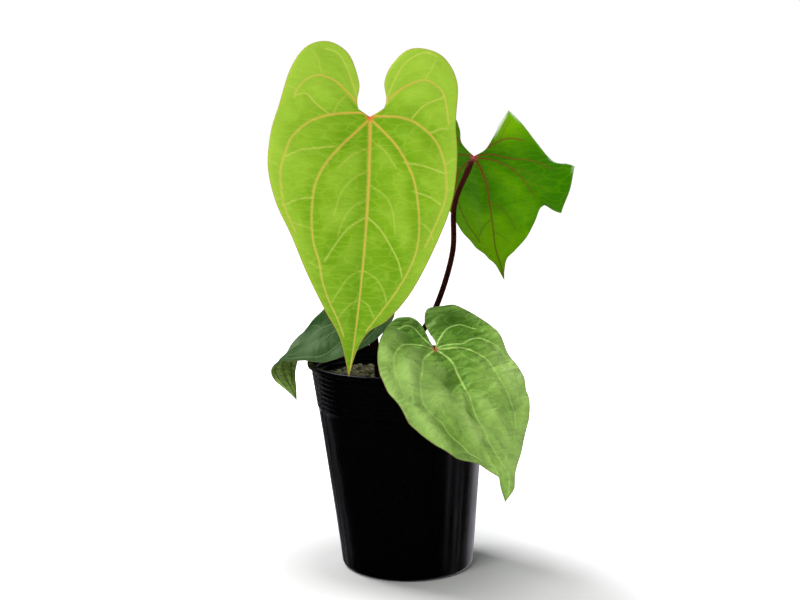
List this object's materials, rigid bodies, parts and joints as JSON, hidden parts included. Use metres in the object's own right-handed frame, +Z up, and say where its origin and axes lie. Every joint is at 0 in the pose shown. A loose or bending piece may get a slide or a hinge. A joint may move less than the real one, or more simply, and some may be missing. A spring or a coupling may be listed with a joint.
{
  "type": "potted anthurium",
  "caption": "Potted anthurium with heart-shaped leaves on slender dark stalks, growing in a soft black nursery pot filled with potting mix.",
  "frame": {"origin": "middle of the flat underside of the pot", "axes": "+Z up; +Y towards the back of the plant; +X to the plant's right as seen from the front, where the largest leaf shows its upper face"},
  "size_m": [0.1776, 0.1573, 0.3002],
  "materials": {
    "black_plastic": "gloss",
    "potting_mix": "matte",
    "crown_stem": "matte",
    "dark_red_stalk": "satin",
    "young_leaf": "satin",
    "green_leaf": "satin",
    "grown_leaf": "satin",
    "old_leaf": "satin"
  },
  "bodies": {
    "root": {"nursery_pot": "black_plastic", "potting_mix": "potting_mix", "crown_stem": "crown_stem", "front_leaf_stalk": "dark_red_stalk", "back_right_leaf_stalk": "dark_red_stalk", "front_right_leaf_stalk": "dark_red_stalk", "back_left_leaf_stalk": "dark_red_stalk", "front_leaf_blade": "young_leaf", "back_right_leaf_blade": "green_leaf", "front_right_leaf_blade": "grown_leaf", "back_left_leaf_blade": "old_leaf"}
  },
  "joints": []
}
